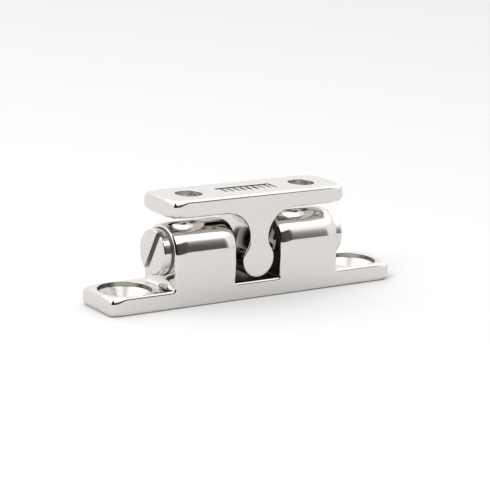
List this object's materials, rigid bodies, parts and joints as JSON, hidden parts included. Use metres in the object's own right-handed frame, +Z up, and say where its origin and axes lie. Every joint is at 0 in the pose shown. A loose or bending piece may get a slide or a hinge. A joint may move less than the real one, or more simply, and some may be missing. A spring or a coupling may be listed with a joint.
{
  "type": "double ball catch",
  "caption": "Polished double ball catch: a countersunk base with two barrels, sprung balls and slotted adjusting screws, and a T-shaped striker plate held between the balls.",
  "frame": {"origin": "centre of the base plate's underside", "axes": "+X along the base plate, +Y from the side the picture shows to the far side, +Z up from the base plate to the striker plate"},
  "size_m": [0.05, 0.0086, 0.0158],
  "materials": {
    "polished_steel": "mirror-polished stainless steel",
    "ball_steel": "ground and polished bearing ball",
    "spring_wire": "drawn wire, slightly dull",
    "screw_steel": "turned and polished stainless steel"
  },
  "bodies": {
    "case": {"case": "polished_steel"},
    "striker": {"striker": "polished_steel"},
    "left_ball": {"left_ball": "ball_steel"},
    "right_ball": {"right_ball": "ball_steel"},
    "left_seat": {"left_spring": "spring_wire"},
    "right_seat": {"right_spring": "spring_wire"},
    "left_adjuster": {"left_adjuster": "screw_steel"},
    "right_adjuster": {"right_adjuster": "screw_steel"}
  },
  "joints": [
    {"name": "striker_lift", "type": "slide", "parent": "case", "child": "striker", "axis": [0, 0, 1], "range_m": [0, 0.02]},
    {"name": "left_ball_press", "type": "slide", "parent": "case", "child": "left_ball", "axis": [-1, 0, 0], "range_m": [0, 0.001], "stiffness_N_per_m": 6000, "springref_m": -0.0008, "deforming": ["left_spring"]},
    {"name": "right_ball_press", "type": "slide", "parent": "case", "child": "right_ball", "axis": [1, 0, 0], "range_m": [0, 0.001], "stiffness_N_per_m": 6000, "springref_m": -0.0008, "deforming": ["right_spring"]},
    {"name": "left_adjuster_feed", "type": "slide", "parent": "case", "child": "left_seat", "axis": [1, 0, 0], "range_m": [-0.0005, 0.001]},
    {"name": "left_adjuster_turn", "type": "hinge", "parent": "left_seat", "child": "left_adjuster", "pos_m": [-0.0144, 0, 0.00757], "axis": [1, 0, 0], "range_deg": [-360, 720]},
    {"name": "right_adjuster_feed", "type": "slide", "parent": "case", "child": "right_seat", "axis": [-1, 0, 0], "range_m": [-0.0005, 0.001]},
    {"name": "right_adjuster_turn", "type": "hinge", "parent": "right_seat", "child": "right_adjuster", "pos_m": [0.0144, 0, 0.00757], "axis": [-1, 0, 0], "range_deg": [-360, 720]}
  ],
  "couplings": [
    {"joint": "left_adjuster_turn", "follows": "left_adjuster_feed", "rad_per_m": 12566},
    {"joint": "right_adjuster_turn", "follows": "right_adjuster_feed", "rad_per_m": 12566}
  ]
}
